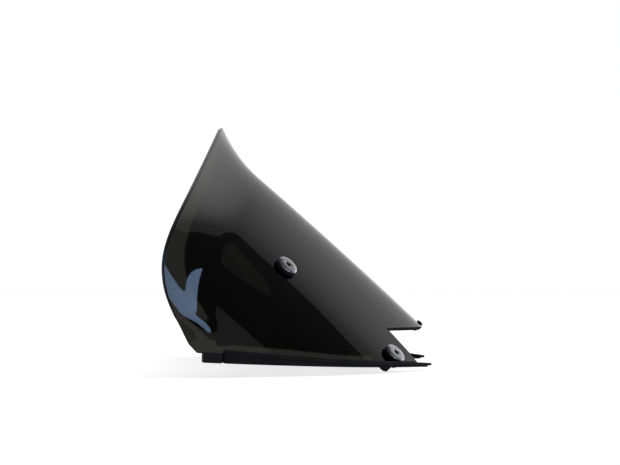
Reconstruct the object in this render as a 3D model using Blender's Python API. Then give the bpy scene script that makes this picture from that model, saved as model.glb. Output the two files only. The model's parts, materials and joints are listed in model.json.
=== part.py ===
"""Flared screen for a touring motorcycle fairing, with its fasteners and base seals.

Axes are X forward, Y left and Z up, in metres. The origin is under the middle of the
part, level with its lowest point, the ends of the lower well nuts. The screen is a bent
sheet: a rounded-V section is carried along a slightly bowed crest that runs down and
forward, and the sheet lifts outwards near its free edge. Each place on the sheet has two
coordinates: its arc, measured round the section from the crest, and its run, measured
down along the crest.
"""

import math

import bmesh
import bpy
import numpy as np
from mathutils import Matrix, Vector

# The crest line of the sheet, in the plane of symmetry.
CREST_X = 0.0100
CREST_Z = 0.14223
CREST_SLOPE = math.radians(42.0)
BOW_RUN = 0.020  # where the bowed crest touches the straight
BOW_RADIUS = 5.0

# The section, square to the crest: a rounded V that steepens towards the rear edges.
PROW_SLOPE = 0.49
PROW_RADIUS = 0.040
SIDE_DROP = 0.065
SIDE_REACH = 0.228
SIDE_POWER = 8
HALF_WIDTH = 0.2277

# The sheet and its outline.
SHEET = 0.0045
EDGE_POLISH = 0.0007
TIP_RUN = -0.1301
TRIM_RUN = 0.0474
HIP_RUN = 0.0251
HIP_POWER = 6.27
SHOULDER_RUN = 0.0517
SHOULDER_POWER = 16.7
TIP_SOFTNESS = 0.06
FLARE_REACH = 0.060
FLARE_CREST = 0.0148
FLARE_HIP = 0.0040
FLARE_FADE = 0.70
FLARE_FADE_POWER = 10
BASE_HOLD = 0.050

# The slot cut in the front of the sheet, round the centre vent of the fairing.
SLOT_HALF_WIDTH = 0.083
SLOT_TOP_Z = 0.03973
SLOT_TOP_RISE = 0.0012
SLOT_FLARE_ARC = 0.0072

# The base: the plane under the seals, the line of the trim strip, and the sheet's foot.
SEAT_Z = 0.0095
SEAT_SLOPE = -0.049
STRIP_Z = 0.01898
STRIP_SLOPE = -0.095
FOOT_Z = 0.01457
FOOT_SLOPE = -0.083
GAP = 0.0003

# Seals along the base, measured outwards from the line where the sheet would meet the seat.
STRIP_INNER = 0.0021
STRIP_OUTER = 0.0070
STRIP_REAR_X = -0.0720
STRIP_FRONT_X = 0.1220
STRIP_ENDS = (0.0024, 0.0045, 0.0026)
STRIP_POINT = 0.016
STRIP_SLIM_X = 0.0755
SHELF_DEPTH = 0.0052
GASKET_OUTER = 0.0059
GASKET_FRONT_X = 0.1200
WALL_CLEAR = 0.0005
BLOCK_OUTER = 0.0062
BLOCK_REAR_X = -0.0900
BLOCK_FRONT_X = -0.0727
BLOCK_LIP_RISE = 0.0016
BLOCK_BAND = 0.0032
BLOCK_STEP = 0.0012

# The bumper in the centre tab.
BUMPER_RUN = 0.1469
BUMPER_HOLE = 0.0050

# Fasteners: places on the sheet as (arc, run), and the stack's sizes.
UPPER_SCREW_Y = 0.1310
UPPER_SCREW_RUN = 0.0101
LOWER_SCREW_Y = 0.1152
LOWER_SCREW_RUN = 0.1434
SCREW_HOLE = 0.0096
HEAD = 0.0208
HEAD_HEIGHT = 0.0018
SHANK = 0.00635
SHANK_LENGTH = 0.0200
SOCKET_FLATS = 0.0048
SOCKET_DEPTH = 0.0026
RUBBER_WASHER = 0.0216
RUBBER_THICKNESS = 0.0014
CUP_WASHER = 0.0222
CUP_THICKNESS = 0.0019
SHOULDER = 0.0088
SHOULDER_DEPTH = 0.0036
BORE_CLEAR = 0.0070
NUT_FLANGE = 0.0190
NUT_FLANGE_THICKNESS = 0.0018
NUT_BODY = 0.0126
NUT_DEPTH = 0.0165
INSERT = 0.0086
INSERT_LENGTH = 0.0076

CREST = np.array([math.cos(CREST_SLOPE), 0.0, -math.sin(CREST_SLOPE)])
RISE = np.array([math.sin(CREST_SLOPE), 0.0, math.cos(CREST_SLOPE)])
ACROSS = np.array([0.0, 1.0, 0.0])
CREST_ORIGIN = np.array([CREST_X, 0.0, CREST_Z])

SECTION_Y = np.linspace(0.0, 0.25, 5001)


def section_drop(y):
    """How far the section has fallen below the crest at half-width y."""
    prow = PROW_SLOPE * (np.sqrt(y * y + PROW_RADIUS**2) - PROW_RADIUS)
    return prow + SIDE_DROP * (y / SIDE_REACH) ** SIDE_POWER


SECTION_ARC = np.concatenate(
    [[0.0], np.cumsum(np.hypot(np.diff(SECTION_Y), np.diff(section_drop(SECTION_Y))))]
)


def arc_at(y):
    """The arc from the crest to half-width y."""
    return float(np.interp(y, SECTION_Y, SECTION_ARC))


FULL_ARC = arc_at(HALF_WIDTH)
SLOT_ARC = arc_at(SLOT_HALF_WIDTH)


def section(arc):
    """Half-width, drop and outward normal (across, rise) of the section at each arc, signed like the arc."""
    side = np.sign(arc)
    y = np.interp(np.abs(arc), SECTION_ARC, SECTION_Y)
    step = 1e-6
    slope = (section_drop(y + step) - section_drop(y)) / step
    length = np.hypot(1.0, slope)
    return side * y, section_drop(y), side * slope / length, 1.0 / length


def free_edge(arc):
    """Run of the free edge: a plane trim across the top, then a shoulder down each side."""
    share = np.abs(arc) / FULL_ARC
    trim = np.sqrt(share**2 + TIP_SOFTNESS**2) - TIP_SOFTNESS
    hip = HIP_RUN * share**HIP_POWER
    return TIP_RUN + TRIM_RUN * trim + hip + SHOULDER_RUN * share**SHOULDER_POWER


def bow(run):
    """Slight crown of the crest line, as a rise above the straight."""
    return -((run - BOW_RUN) ** 2) / (2.0 * BOW_RADIUS)


def run_on_plane(arc, height, slope, depth=0.0):
    """Run at which a layer of the unflared sheet meets the plane z = height + slope * x."""
    _, drop, _, n_rise = section(np.asarray(arc, float))
    run = np.zeros_like(drop)
    for _ in range(4):
        rise = bow(run) - drop - depth * n_rise
        above = CREST_Z + rise * RISE[2] - height - slope * (CREST_X + rise * RISE[0])
        run = above / (slope * CREST[0] - CREST[2])
    return run


def foot_run(arc):
    """Run of the bottom edge, whose inner corner stands on the foot plane."""
    return run_on_plane(arc, FOOT_Z, FOOT_SLOPE, SHEET)


def flare(arc, run):
    """Outward lift of the sheet: a parabola of the distance from the free edge, held down at the foot."""
    share = np.minimum(np.abs(arc) / FULL_ARC, 1.0)
    shoulder = SHOULDER_RUN * SHOULDER_POWER * share ** (SHOULDER_POWER - 1)
    hip = HIP_RUN * HIP_POWER * share ** (HIP_POWER - 1)
    distance = (run - free_edge(arc)) / np.hypot(1.0, (TRIM_RUN + hip + shoulder) / FULL_ARC)
    lift = (FLARE_CREST + FLARE_HIP * share**2) * (1.0 - FLARE_FADE * share**FLARE_FADE_POWER)
    hold = np.clip((foot_run(arc) - run) / BASE_HOLD, 0.0, 1.0)
    return lift * hold**2 * (3.0 - 2.0 * hold) * np.clip(1.0 - distance / FLARE_REACH, 0.0, 1.0) ** 2


def sheet_point(arc, run, depth=0.0):
    """Points of the sheet's outer face, or of a layer that lies depth below it."""
    y, drop, n_across, n_rise = section(np.asarray(arc, float))
    lift = flare(arc, run) - depth
    across = np.multiply.outer(y + lift * n_across, ACROSS)
    rise = np.multiply.outer(lift * n_rise - drop + bow(run), RISE)
    return CREST_ORIGIN + np.multiply.outer(run, CREST) + across + rise


def plan_line(arcs, height, slope):
    """Points of the sheet on a plane, and the plan direction that points outwards from it at each."""
    y, drop, _, _ = section(arcs)
    run = run_on_plane(arcs, height, slope)
    across = np.multiply.outer(y, ACROSS)
    rise = np.multiply.outer(bow(run) - drop, RISE)
    points = CREST_ORIGIN + np.multiply.outer(run, CREST) + across + rise
    tangent = np.gradient(points, axis=0)
    outward = np.stack([tangent[:, 1], -tangent[:, 0], np.zeros(len(arcs))], axis=1)
    outward *= np.where(outward[:, 1] * y < 0.0, -1.0, 1.0)[:, None]
    return points, outward / np.linalg.norm(outward, axis=1)[:, None]


def clear_scene():
    for old in list(bpy.data.objects):
        bpy.data.objects.remove(old, do_unlink=True)


def finish_material(name, colour, roughness, metallic=0.0):
    made = bpy.data.materials.new(name)
    made.use_nodes = True
    shader = made.node_tree.nodes["Principled BSDF"]
    shader.inputs["Base Color"].default_value = (*colour, 1.0)
    shader.inputs["Roughness"].default_value = roughness
    shader.inputs["Metallic"].default_value = metallic
    made.diffuse_color = (*colour, 1.0)
    return made


def add_object(name, mesh, material):
    made = bpy.data.objects.new(name, mesh)
    bpy.context.scene.collection.objects.link(made)
    if material is not None and not mesh.materials:
        mesh.materials.append(material)
    return made


def mesh_from(name, points, faces):
    mesh = bpy.data.meshes.new(name)
    mesh.from_pydata([tuple(p) for p in points], [], [tuple(f) for f in faces])
    shell = bmesh.new()
    shell.from_mesh(mesh)
    bmesh.ops.recalc_face_normals(shell, faces=shell.faces)
    shell.to_mesh(mesh)
    shell.free()
    return mesh


def smooth(mesh, angle=35.0):
    mesh.shade_smooth()
    mesh.set_sharp_from_angle(angle=math.radians(angle))


def turned(name, profile, sides):
    """Mesh of a closed profile of (radius, height) points, turned round the Z axis."""
    shell = bmesh.new()
    corners = [shell.verts.new((radius, 0.0, height)) for radius, height in profile]
    solid_core = profile[0][0] == 0.0 and profile[-1][0] == 0.0
    links = list(zip(corners, corners[1:]))
    if not solid_core:
        links.append((corners[-1], corners[0]))
    edges = [shell.edges.new(pair) for pair in links]
    bmesh.ops.spin(
        shell,
        geom=corners + edges,
        axis=(0.0, 0.0, 1.0),
        cent=(0.0, 0.0, 0.0),
        angle=math.tau,
        steps=sides,
        use_merge=True,
    )
    bmesh.ops.remove_doubles(shell, verts=shell.verts, dist=1e-6)
    bmesh.ops.recalc_face_normals(shell, faces=shell.faces)
    mesh = bpy.data.meshes.new(name)
    shell.to_mesh(mesh)
    shell.free()
    smooth(mesh)
    return mesh


def cutter(name, mesh):
    made = add_object(name, mesh, None)
    made.hide_render = True
    made.display_type = "WIRE"
    return made


def cut(target, tool, name):
    boolean = target.modifiers.new(name, "BOOLEAN")
    boolean.operation = "DIFFERENCE"
    boolean.object = tool


def seat_frame(y, run):
    """Where a fastener stands on the sheet: its foot, with Z along the outward normal."""
    arc = math.copysign(arc_at(abs(y)), y)
    foot = sheet_point(np.array([arc]), np.array([run]))[0]
    _, _, n_across, n_rise = section(np.array([arc]))
    normal = Vector(n_across[0] * ACROSS + n_rise[0] * RISE)
    down = Vector(CREST)
    side = normal.cross(down)
    turn = Matrix((down, side, normal)).transposed().to_4x4()
    return Matrix.Translation(Vector(foot)) @ turn


# ---------------------------------------------------------------- screen

COLUMNS_CENTRE = 9
COLUMNS_SIDE = 18
ROWS_UPPER = 11
ROWS_LOWER = 3
LOWER_SHARE = 0.135


def slot_top_run(arc):
    """Run of the slot's top edge, which lies on a level plane."""
    y, _, _, _ = section(arc)
    return run_on_plane(arc, SLOT_TOP_Z + SLOT_TOP_RISE * np.abs(y) / SLOT_HALF_WIDTH, 0.0)


def upper_rows(arc, low_run):
    """Runs from the free edge down to low_run, closer together where the flare bends."""
    share = np.linspace(0.0, 1.0, ROWS_UPPER + 1) ** 1.25
    top = free_edge(arc)
    return top + np.multiply.outer(share, low_run - top)


def screen_grid():
    """Outer face of the screen as points and quads: the middle above the slot, then both lobes."""
    middle = np.linspace(-SLOT_ARC, SLOT_ARC, 2 * COLUMNS_CENTRE + 1)
    runs = upper_rows(middle, slot_top_run(middle))
    arcs = np.broadcast_to(middle, runs.shape)
    blocks = [(arcs, runs)]
    share = np.linspace(0.0, 1.0, COLUMNS_SIDE + 1) ** 0.85
    side = SLOT_ARC + (FULL_ARC - SLOT_ARC) * share
    split = foot_run(side) - LOWER_SHARE * (foot_run(side) - free_edge(side))
    split += (slot_top_run(side) - split)[0] * (1.0 - share) ** 2
    upper = upper_rows(side, split)
    down = np.linspace(0.0, 1.0, ROWS_LOWER + 1)[1:]
    shift = np.multiply.outer(down, SLOT_FLARE_ARC * (1.0 - share) ** 3)
    lower_arcs = side + shift
    lower = split + down[:, None] * (foot_run(lower_arcs) - split)
    arcs = np.concatenate([np.broadcast_to(side, upper.shape), lower_arcs])
    runs = np.concatenate([upper, lower])
    blocks += [(arcs, runs), (-arcs, runs)]
    points, faces, start = [], [], 0
    for arcs, runs in blocks:
        rows, columns = arcs.shape
        points.append(sheet_point(arcs, runs).reshape(-1, 3))
        corner = start + np.arange(rows * columns).reshape(rows, columns)
        quads = np.stack([corner[:-1, :-1], corner[1:, :-1], corner[1:, 1:], corner[:-1, 1:]], axis=-1)
        if arcs[0, -1] < arcs[0, 0]:
            quads = quads[..., ::-1]
        faces.append(quads.reshape(-1, 4))
        start += rows * columns
    return np.concatenate(points), np.concatenate(faces)


def make_screen(material, fastener_frames, bumper_frame):
    points, faces = screen_grid()
    mesh = bpy.data.meshes.new("screen")
    mesh.from_pydata(points.tolist(), [], faces.tolist())
    shell = bmesh.new()
    shell.from_mesh(mesh)
    bmesh.ops.remove_doubles(shell, verts=shell.verts, dist=1e-5)
    shell.to_mesh(mesh)
    shell.free()
    mesh.shade_smooth()
    screen = add_object("screen", mesh, material)
    wall = screen.modifiers.new("wall", "SOLIDIFY")
    wall.thickness = SHEET
    wall.offset = -1.0
    wall.use_even_offset = True
    polish = screen.modifiers.new("polish", "BEVEL")
    polish.width = EDGE_POLISH
    polish.segments = 1
    polish.limit_method = "ANGLE"
    polish.angle_limit = math.radians(50.0)
    drill = bmesh.new()
    for frame, diameter in [(f, SCREW_HOLE) for f in fastener_frames] + [(bumper_frame, BUMPER_HOLE)]:
        bmesh.ops.create_cone(
            drill,
            cap_ends=True,
            segments=24,
            radius1=diameter / 2,
            radius2=diameter / 2,
            depth=4 * SHEET,
            matrix=frame,
        )
    drill_mesh = bpy.data.meshes.new("screen_drill")
    drill.to_mesh(drill_mesh)
    drill.free()
    cut(screen, cutter("screen_drill", drill_mesh), "holes")
    return screen


# ---------------------------------------------------------------- fasteners

HEAD_BASE = 3 * GAP + RUBBER_THICKNESS + CUP_THICKNESS


def screw_mesh():
    """Low wide head with a bevelled rim over a plain shank, its underside at HEAD_BASE."""
    top = HEAD_BASE + HEAD_HEIGHT
    tip = HEAD_BASE - SHANK_LENGTH
    rim = HEAD / 2
    profile = [
        (0.0, top - 0.0003),
        (0.0044, top - 0.0003),
        (0.0048, top),
        (rim - 0.0022, top - 0.0002),
        (rim - 0.0005, top - 0.0006),
        (rim, top - 0.0011),
        (rim, HEAD_BASE + 0.0002),
        (rim - 0.0002, HEAD_BASE),
        (SHANK / 2, HEAD_BASE),
        (SHANK / 2, tip + 0.0007),
        (SHANK / 2 - 0.0007, tip),
        (0.0, tip),
    ]
    return turned("screw", profile, 24)


def rubber_washer_mesh():
    low, high = GAP, GAP + RUBBER_THICKNESS
    inner, outer = SCREW_HOLE / 2, RUBBER_WASHER / 2
    bulge = 0.0003
    middle = (low + high) / 2
    profile = [
        (inner, low),
        (outer - bulge, low),
        (outer, middle),
        (outer - bulge, high),
        (inner, high),
    ]
    return turned("rubber_washer", profile, 24)


def cup_washer_mesh():
    """Nylon washer with a shoulder that passes through the rubber washer and the hole."""
    low = 2 * GAP + RUBBER_THICKNESS
    high = low + CUP_THICKNESS
    outer = CUP_WASHER / 2
    profile = [
        (BORE_CLEAR / 2, -SHOULDER_DEPTH),
        (SHOULDER / 2, -SHOULDER_DEPTH),
        (SHOULDER / 2, low),
        (outer - 0.0002, low),
        (outer, low + 0.0004),
        (outer, high - 0.0012),
        (outer - 0.0008, high),
        (BORE_CLEAR / 2, high),
    ]
    return turned("cup_washer", profile, 24)


def well_nut_mesh():
    """Rubber nut: a flange behind the sheet and a body that goes through the panel."""
    face = -SHEET - GAP
    seat = face - NUT_FLANGE_THICKNESS
    end = -NUT_DEPTH
    pocket = end + INSERT_LENGTH + GAP
    profile = [
        (BORE_CLEAR / 2, face),
        (NUT_FLANGE / 2 - 0.0004, face),
        (NUT_FLANGE / 2, face - 0.0005),
        (NUT_FLANGE / 2, seat),
        (NUT_BODY / 2, seat),
        (NUT_BODY / 2 - 0.0002, end + 0.0010),
        (NUT_BODY / 2 - 0.0008, end),
        (INSERT / 2 + GAP, end),
        (INSERT / 2 + GAP, pocket),
        (BORE_CLEAR / 2, pocket),
    ]
    return turned("well_nut", profile, 20)


def insert_mesh():
    """Brass thread insert in the end of the well nut."""
    end = -NUT_DEPTH
    profile = [
        (BORE_CLEAR / 2, end + INSERT_LENGTH),
        (INSERT / 2 - 0.0003, end + INSERT_LENGTH),
        (INSERT / 2, end + INSERT_LENGTH - 0.0004),
        (INSERT / 2, end + 0.0002),
        (BORE_CLEAR / 2, end + 0.0002),
    ]
    return turned("thread_insert", profile, 20)


def socket_cutter(frame, name):
    """Six-sided key recess, driven into the middle of a screw head."""
    tool = bmesh.new()
    top = HEAD_BASE + HEAD_HEIGHT
    reach = 0.001
    corner = SOCKET_FLATS / math.sqrt(3.0)
    middle = Matrix.Translation((0.0, 0.0, top + (reach - SOCKET_DEPTH) / 2))
    bmesh.ops.create_cone(
        tool,
        cap_ends=True,
        segments=6,
        radius1=corner,
        radius2=corner,
        depth=SOCKET_DEPTH + reach,
        matrix=middle,
    )
    mesh = bpy.data.meshes.new(name)
    tool.to_mesh(mesh)
    tool.free()
    made = cutter(name, mesh)
    made.matrix_world = frame
    return made


def make_fasteners(frames, finishes):
    """One stack at each hole: screw, cup washer, rubber washer, well nut and thread insert."""
    shared = {
        "screw": (screw_mesh(), finishes["steel"]),
        "cup_washer": (cup_washer_mesh(), finishes["nylon"]),
        "rubber_washer": (rubber_washer_mesh(), finishes["rubber"]),
        "well_nut": (well_nut_mesh(), finishes["rubber"]),
        "thread_insert": (insert_mesh(), finishes["brass"]),
    }
    for place, frame in frames.items():
        for piece, (mesh, material) in shared.items():
            made = add_object(f"{piece}_{place}", mesh, material)
            made.matrix_world = frame
            if piece == "screw":
                cut(made, socket_cutter(frame, f"socket_{place}"), "socket")


# ---------------------------------------------------------------- base seals


def swept(name, points, outward, profiles, material):
    """Solid that carries one outline along a line in plan: profiles[i] is (offset, height) at point i."""
    rings = []
    for point, out, outline in zip(points, outward, profiles):
        rings.append([(point[0] + out[0] * n, point[1] + out[1] * n, z) for n, z in outline])
    sides = len(rings[0])
    corners = [corner for ring in rings for corner in ring]
    faces = [list(range(sides)), [len(corners) - sides + i for i in range(sides)][::-1]]
    for ring in range(len(rings) - 1):
        for i in range(sides):
            j = (i + 1) % sides
            low, high = ring * sides, (ring + 1) * sides
            faces.append([low + i, low + j, high + j, high + i])
    mesh = mesh_from(name, corners, faces)
    smooth(mesh, 30.0)
    return add_object(name, mesh, material)


def arcs_between(x_start, x_end, count, side):
    """Arcs whose points on the seat plane run from x_start to x_end in even steps."""
    table = np.linspace(arc_at(0.02), arc_at(0.235), 2000)
    points, _ = plan_line(table, SEAT_Z, SEAT_SLOPE)
    order = np.argsort(points[:, 0])
    return side * np.interp(np.linspace(x_start, x_end, count), points[order, 0], table[order])


def strip_height(x):
    """Height of the trim strip's face, pointed at the rear and slimmer at the front."""
    rear, full, front = STRIP_ENDS
    swell = np.interp(x, [STRIP_REAR_X, STRIP_REAR_X + STRIP_POINT], [rear, full])
    return np.interp(x, [STRIP_SLIM_X, STRIP_FRONT_X], [1.0, front / full]) * swell


def make_strip(name, side, material):
    arcs = arcs_between(STRIP_REAR_X, STRIP_FRONT_X, 25, side)
    points, outward = plan_line(arcs, SEAT_Z, SEAT_SLOPE)
    profiles = []
    for x in points[:, 0]:
        top = STRIP_Z + STRIP_SLOPE * x
        low = top - strip_height(x)
        soft = 0.25 * (top - low)
        profiles.append(
            [
                (STRIP_INNER, low),
                (STRIP_OUTER - soft / 2, low),
                (STRIP_OUTER, low + soft / 2),
                (STRIP_OUTER, top - soft),
                (STRIP_OUTER - soft, top),
                (STRIP_INNER + soft / 2, top),
                (STRIP_INNER, top - soft / 2),
            ]
        )
    return swept(name, points, outward, profiles, material)


def sheet_lean(arcs):
    """How far the sheet leans inwards in plan for each metre of height."""
    _, _, n_across, n_rise = section(arcs)
    level = np.hypot(n_across, n_rise * RISE[0])
    return n_rise * RISE[2] / level


def make_gasket(name, side, material):
    """Gasket on the seat: a shelf under the sheet's edge and a dam outside it."""
    arcs = arcs_between(STRIP_REAR_X, GASKET_FRONT_X, 21, side)
    points, outward = plan_line(arcs, SEAT_Z, SEAT_SLOPE)
    profiles = []
    for x, lean in zip(points[:, 0], sheet_lean(arcs)):
        top = STRIP_Z + STRIP_SLOPE * x - strip_height(x) - GAP
        low = SEAT_Z + SEAT_SLOPE * x
        shelf = FOOT_Z + FOOT_SLOPE * x - GAP
        wall = WALL_CLEAR - lean * (shelf - low)
        profiles.append(
            [
                (wall - SHELF_DEPTH, low),
                (GASKET_OUTER, low),
                (GASKET_OUTER, top),
                (wall, top),
                (wall, shelf),
                (wall - SHELF_DEPTH, shelf),
            ]
        )
    return swept(name, points, outward, profiles, material)


def make_rear_block(name, side, material):
    """Block under the sheet's rear corner: a shelf below its edge, with a lip outside it."""
    arcs = arcs_between(BLOCK_REAR_X, BLOCK_FRONT_X, 5, side)
    points, outward = plan_line(arcs, SEAT_Z, SEAT_SLOPE)
    profiles = []
    for x, lean in zip(points[:, 0], sheet_lean(arcs)):
        shelf = FOOT_Z + FOOT_SLOPE * x - GAP
        lip = shelf + BLOCK_LIP_RISE
        low = SEAT_Z + SEAT_SLOPE * x
        band = low + BLOCK_BAND
        wall = WALL_CLEAR - lean * (shelf - low)
        profiles.append(
            [
                (wall - SHELF_DEPTH, low),
                (BLOCK_OUTER - BLOCK_STEP, low),
                (BLOCK_OUTER - BLOCK_STEP, band),
                (BLOCK_OUTER, band + GAP),
                (BLOCK_OUTER, lip),
                (wall, lip),
                (wall, shelf),
                (wall - SHELF_DEPTH, shelf),
            ]
        )
    return swept(name, points, outward, profiles, material)


def make_bumper(frame, material):
    """Push-in rubber bumper in the centre tab: a low dome, a stem and a retaining bulb."""
    bulb = -SHEET - GAP
    profile = [
        (0.0, 0.0024),
        (0.0018, 0.0022),
        (0.0032, 0.0014),
        (0.0038, GAP),
        (0.0022, GAP),
        (0.0022, bulb),
        (0.0032, bulb),
        (0.0030, bulb - 0.0014),
        (0.0012, bulb - 0.0040),
        (0.0, bulb - 0.0042),
    ]
    made = add_object("tab_bumper", turned("tab_bumper", profile, 16), material)
    made.matrix_world = frame
    return made


def build():
    clear_scene()
    smoke = finish_material("dark_smoke_acrylic", (0.012, 0.012, 0.012), 0.06)
    finishes = {
        "rubber": finish_material("black_rubber", (0.014, 0.014, 0.015), 0.62),
        "nylon": finish_material("black_nylon", (0.016, 0.016, 0.022), 0.38),
        "steel": finish_material("bright_steel", (0.62, 0.62, 0.64), 0.18, 1.0),
        "brass": finish_material("brass", (0.62, 0.44, 0.16), 0.30, 1.0),
    }
    frames = {}
    for side, word in ((1, "left"), (-1, "right")):
        frames[f"upper_{word}"] = seat_frame(side * UPPER_SCREW_Y, UPPER_SCREW_RUN)
        frames[f"lower_{word}"] = seat_frame(side * LOWER_SCREW_Y, LOWER_SCREW_RUN)
    bumper_frame = seat_frame(0.0, BUMPER_RUN)
    make_screen(smoke, list(frames.values()), bumper_frame)
    make_fasteners(frames, finishes)
    for side, word in ((1, "left"), (-1, "right")):
        make_strip(f"trim_strip_{word}", side, finishes["rubber"])
        make_gasket(f"base_gasket_{word}", side, finishes["rubber"])
        make_rear_block(f"rear_block_{word}", side, finishes["rubber"])
    make_bumper(bumper_frame, finishes["rubber"])


build()
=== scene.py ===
"""Looks for a flared screen of a touring motorcycle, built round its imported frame.

Every piece is a surface worked out with numpy. The screen is a bent sheet: a rounded-V
section is carried along a slightly bowed crest that runs down and forward, and the sheet
lifts outwards near its free edge. A place on it has two coordinates: its arc, measured
round the section from the crest, and its run, measured down along the crest.
"""

import json
import math

import bpy
import numpy as np
from bpy.props import FloatProperty, FloatVectorProperty, IntProperty, PointerProperty
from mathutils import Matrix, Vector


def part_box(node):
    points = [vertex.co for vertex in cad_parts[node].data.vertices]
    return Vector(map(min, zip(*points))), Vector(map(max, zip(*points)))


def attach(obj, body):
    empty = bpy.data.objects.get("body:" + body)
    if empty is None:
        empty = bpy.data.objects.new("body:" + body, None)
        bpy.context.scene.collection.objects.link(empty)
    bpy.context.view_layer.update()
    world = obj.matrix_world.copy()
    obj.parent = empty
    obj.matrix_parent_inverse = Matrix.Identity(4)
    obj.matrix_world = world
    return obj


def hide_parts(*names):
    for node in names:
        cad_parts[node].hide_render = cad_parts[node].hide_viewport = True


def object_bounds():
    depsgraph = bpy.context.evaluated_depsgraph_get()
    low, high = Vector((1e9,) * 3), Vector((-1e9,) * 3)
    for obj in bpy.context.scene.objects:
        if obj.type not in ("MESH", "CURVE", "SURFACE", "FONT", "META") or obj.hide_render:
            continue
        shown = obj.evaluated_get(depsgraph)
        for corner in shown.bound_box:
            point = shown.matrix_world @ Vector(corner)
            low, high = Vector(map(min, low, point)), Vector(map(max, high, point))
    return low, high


bl_info = {
    "name": "Motorcycle windshield screen",
    "version": (1, 0, 0),
    "blender": (4, 5, 0),
    "location": "View3D > Sidebar > Windshield",
    "description": "Builds a flared smoke screen with its fasteners, base seals and stage",
    "category": "Add Mesh",
}

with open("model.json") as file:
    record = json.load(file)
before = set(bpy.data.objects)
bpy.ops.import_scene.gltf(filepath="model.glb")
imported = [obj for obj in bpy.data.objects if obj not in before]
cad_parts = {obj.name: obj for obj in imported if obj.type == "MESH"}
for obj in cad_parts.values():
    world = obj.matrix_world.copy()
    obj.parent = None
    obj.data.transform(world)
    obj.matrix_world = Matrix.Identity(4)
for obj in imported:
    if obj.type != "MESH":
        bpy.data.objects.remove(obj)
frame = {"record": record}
CAD_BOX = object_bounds()
MOUNTS = {mount["name"]: mount for mount in frame["record"]["mounts"]}
PLACES = ("upper_left", "upper_right", "lower_left", "lower_right")
SIDES = (("left", 1.0), ("right", -1.0))
GAP = 0.0003

# The crest starts here, measured from the middle of the screen's box.
CREST_FROM_MIDDLE = (0.01335, 0.0, 0.0202)
BOW_RUN = 0.020
BOW_RADIUS = 5.0

# The section, square to the crest: a rounded V that steepens towards the rear edges.
PROW_SLOPE = 0.49
PROW_RADIUS = 0.040
SIDE_DROP = 0.065
SIDE_REACH = 0.228
SIDE_POWER = 8

# The free edge: a plane trim across the top, then a hip and a shoulder down each side.
TIP_RUN = -0.1301
TIP_SOFTNESS = 0.06
TRIM_RUN = 0.0474
HIP_RUN = 0.0251
HIP_POWER = 6.27
SHOULDER_RUN = 0.0517
SHOULDER_POWER = 16.7
FLARE_HIP = 0.0040
FLARE_FADE = 0.70
FLARE_FADE_POWER = 10
BASE_HOLD = 0.050

# Planes across the base, as height at x = 0 and slope along X.
SEAT_PLANE = (0.0095, -0.049)
STRIP_PLANE = (0.01898, -0.095)
FOOT_PLANE = (0.01457, -0.083)
SLOT_TOP_Z = 0.03973
SLOT_TOP_RISE = 0.0012
SLOT_FLARE_ARC = 0.0072
LOWER_SHARE = 0.135

# The grid: the narrow steps at its rims, as an arc and as shares of the height, and a lobe's rows.
RIM_BORDER = 0.0011
ROW_BORDER = 0.004
LOBE_BORDER = 0.03
LOBE_ROWS = 0.2


class WindshieldSizes(bpy.types.PropertyGroup):
    """Sizes of the screen, its seals and its fasteners."""

    crest_slope: FloatProperty(
        name="Rake", description="Fall of the crest below level", default=math.radians(42.0), subtype="ANGLE"
    )
    half_width: FloatProperty(
        name="Half width",
        description="Half-width of the section at the foot",
        default=0.2277,
        unit="LENGTH",
    )
    sheet: FloatProperty(
        name="Sheet", description="Thickness of the sheet", default=0.0045, unit="LENGTH"
    )
    flare_lift: FloatProperty(
        name="Flare lift",
        description="Outward lift of the free edge at the crest",
        default=0.0148,
        unit="LENGTH",
    )
    flare_reach: FloatProperty(
        name="Flare reach", description="Width of the band that lifts", default=0.060, unit="LENGTH"
    )
    slot_half_width: FloatProperty(
        name="Slot half width", description="Half-width of the slot at its top", default=0.083, unit="LENGTH"
    )
    edge_round: FloatProperty(
        name="Edge rounding", description="Rounding of the polished rim", default=0.0007, unit="LENGTH"
    )
    columns: IntProperty(name="Columns", description="Steps across the sheet", default=224, min=24)
    rows: IntProperty(name="Rows", description="Steps down the sheet", default=112, min=12)
    stations: IntProperty(name="Stations", description="Steps along each seal", default=150, min=12)
    turns: IntProperty(name="Turned steps", description="Steps round a turned piece", default=96, min=24)
    screw_hole: FloatProperty(
        name="Screw hole", description="Hole in the sheet for a screw", default=0.0096, unit="LENGTH"
    )
    bumper_hole: FloatProperty(
        name="Bumper hole", description="Hole in the centre tab", default=0.0050, unit="LENGTH"
    )
    head: FloatProperty(
        name="Screw head", description="Width of a screw's head", default=0.0208, unit="LENGTH"
    )
    head_height: FloatProperty(
        name="Head height", description="Height of a screw's head", default=0.0018, unit="LENGTH"
    )
    shank: FloatProperty(
        name="Shank", description="Width of a screw's shank", default=0.00635, unit="LENGTH"
    )
    shank_length: FloatProperty(
        name="Shank length",
        description="Length of a screw below its head",
        default=0.0200,
        unit="LENGTH",
    )
    socket_flats: FloatProperty(
        name="Socket",
        description="Distance across the flats of the key recess",
        default=0.0048,
        unit="LENGTH",
    )
    socket_depth: FloatProperty(
        name="Socket depth", description="Depth of the key recess", default=0.0026, unit="LENGTH"
    )
    rubber_washer: FloatProperty(
        name="Rubber washer", description="Width of the rubber washer", default=0.0216, unit="LENGTH"
    )
    rubber_thickness: FloatProperty(
        name="Rubber thickness",
        description="Thickness of the rubber washer",
        default=0.0014,
        unit="LENGTH",
    )
    cup_washer: FloatProperty(
        name="Cup washer", description="Width of the nylon washer", default=0.0222, unit="LENGTH"
    )
    cup_thickness: FloatProperty(
        name="Cup thickness", description="Thickness of the nylon washer", default=0.0019, unit="LENGTH"
    )


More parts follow.
